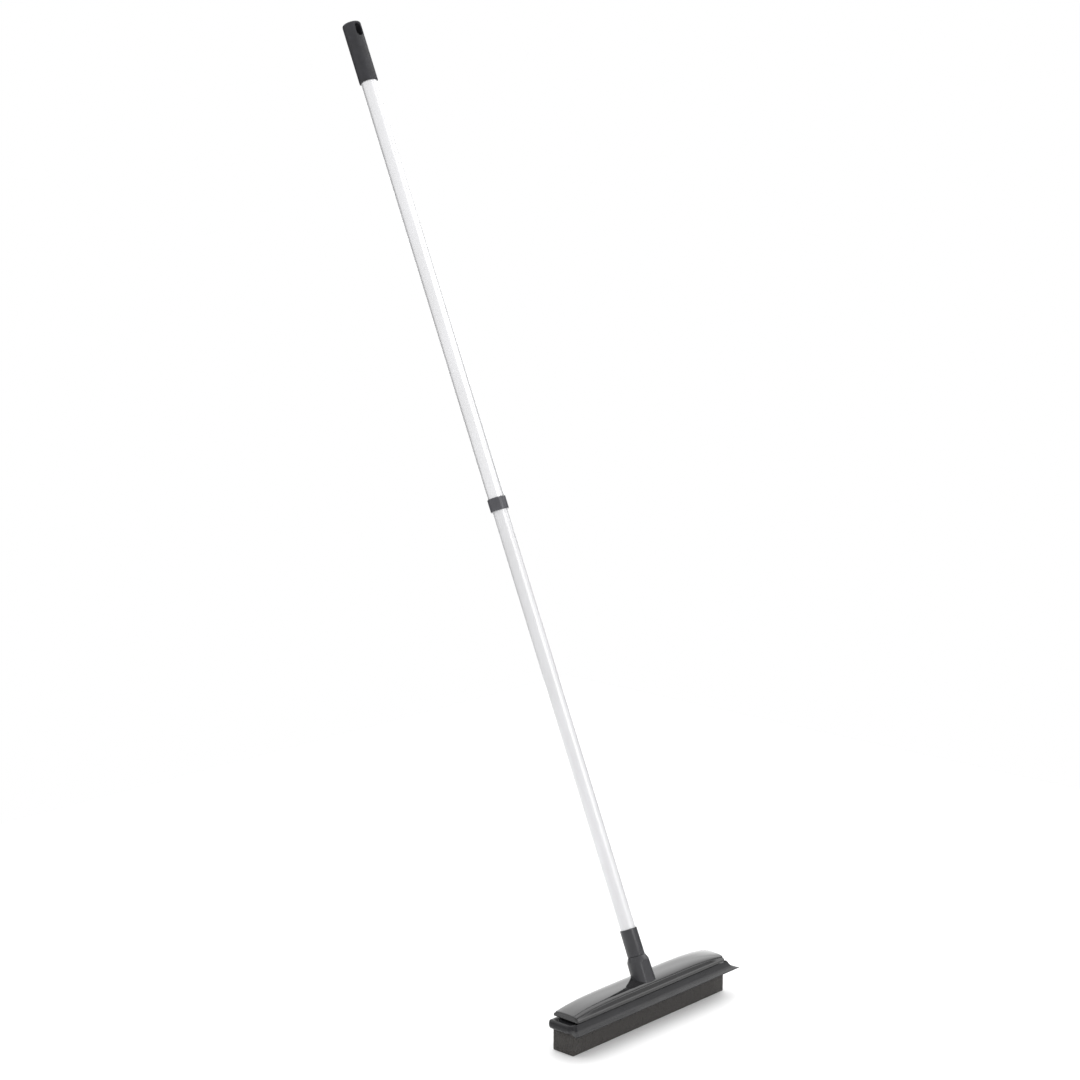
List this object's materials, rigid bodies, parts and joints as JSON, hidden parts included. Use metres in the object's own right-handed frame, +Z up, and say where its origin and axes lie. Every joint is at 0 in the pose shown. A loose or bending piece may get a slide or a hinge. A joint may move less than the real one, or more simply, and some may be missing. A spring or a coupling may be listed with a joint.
{
  "type": "window cleaning squeegee",
  "caption": "Telescopic squeegee: long black head with a rubber blade over a foam block, and a white twist-lock pole that slides and ends in a black hanging grip.",
  "frame": {"origin": "centre of the foam block's sole, on the surface it stands on", "axes": "+X along the head's length, -Y towards the rubber blade's edge, +Z up from the sole; the pole leans towards +Y"},
  "size_m": [0.326, 0.5718, 1.2732],
  "materials": {
    "foam": "matte open-cell foam, dark grey",
    "rubber": "smooth moulded rubber, satin",
    "gloss_black": "polished black plastic",
    "matte_black": "fine matte black plastic",
    "soft_grip": "soft-touch black plastic",
    "tube_white": "glossy white coating on steel tube",
    "nylon": "natural nylon",
    "steel": "zinc-plated steel"
  },
  "bodies": {
    "head_and_lower_pole": {"foam_block": "foam", "squeegee_rubber": "rubber", "carrier_plate": "matte_black", "plate_screw_1": "steel", "plate_screw_2": "steel", "plate_screw_3": "steel", "plate_screw_4": "steel", "head_cover": "gloss_black", "neck_screw_1": "steel", "neck_screw_2": "steel", "neck_socket": "matte_black", "pole_connector": "matte_black", "lower_tube": "tube_white", "lock_core": "nylon", "lock_cap": "steel", "lock_screw": "steel"},
    "lock_ring": {"lock_sleeve": "nylon"},
    "upper_pole": {"upper_tube": "tube_white", "guide_collar": "matte_black", "grip": "soft_grip"}
  },
  "joints": [
    {"name": "twist_lock", "type": "hinge", "parent": "head_and_lower_pole", "child": "lock_ring", "pos_m": [0, -0.00568, 0.05108], "axis": [0, 0.401, 0.9161], "range_deg": [0, 120]},
    {"name": "pole_slide", "type": "slide", "parent": "lock_ring", "child": "upper_pole", "axis": [0, 0.401, 0.9161], "range_m": [-0.56, 0.065]}
  ]
}
